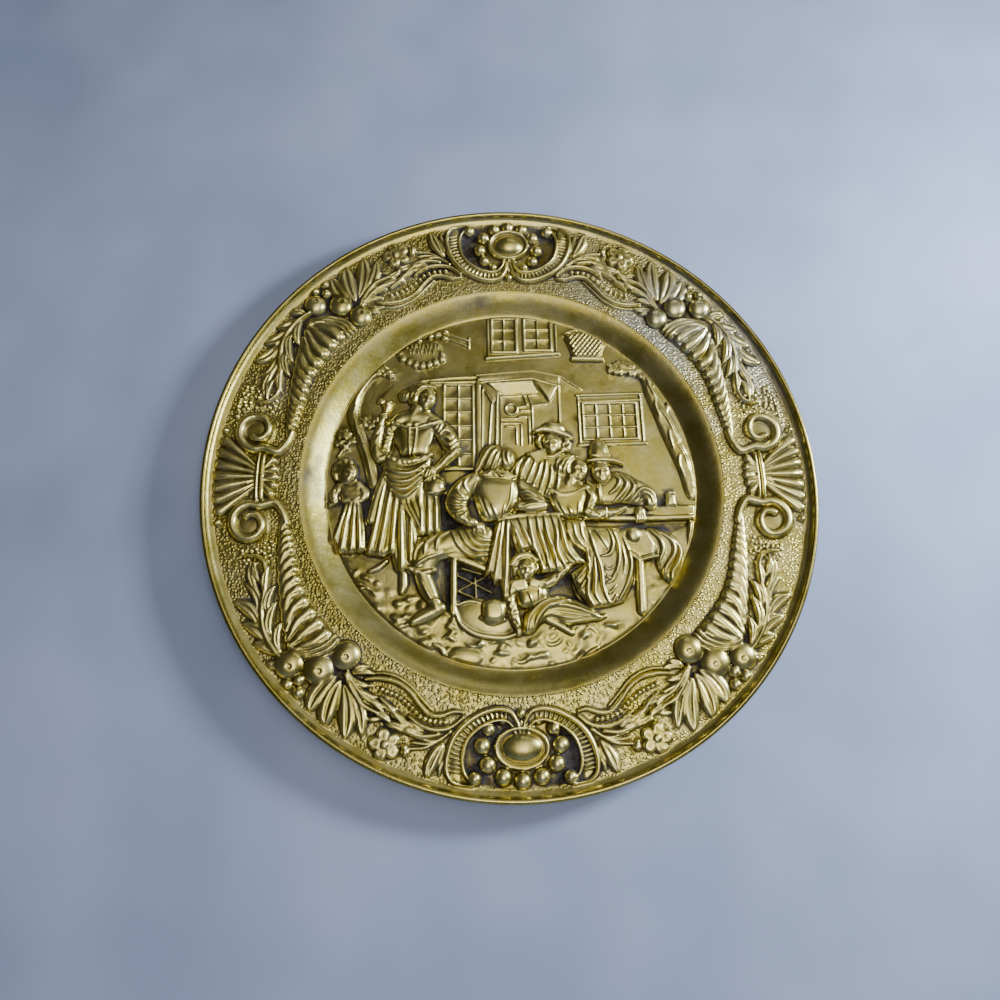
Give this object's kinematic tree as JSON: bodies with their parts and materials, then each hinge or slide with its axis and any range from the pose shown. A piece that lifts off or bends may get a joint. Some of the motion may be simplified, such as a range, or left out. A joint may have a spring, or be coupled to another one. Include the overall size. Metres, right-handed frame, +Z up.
{
  "type": "embossed brass wall plate",
  "caption": "Round embossed brass wall plate with a tavern-yard scene in a sunk well and a rim of scrolls, fruit and horns of plenty.",
  "frame": {"origin": "on the back of the plate, on the flat land above the porch, 107 mm above the plate's middle, where it meets the wall", "axes": "+Z up, +Y into the wall, the relief faces -Y"},
  "size_m": [0.4992, 0.0246, 0.4992],
  "materials": {
    "aged_brass": "pressed sheet brass, olive gold with worn bright high spots and dark patina in the recesses"
  },
  "bodies": {
    "root": {"embossed_plate": "aged_brass"}
  },
  "joints": []
}
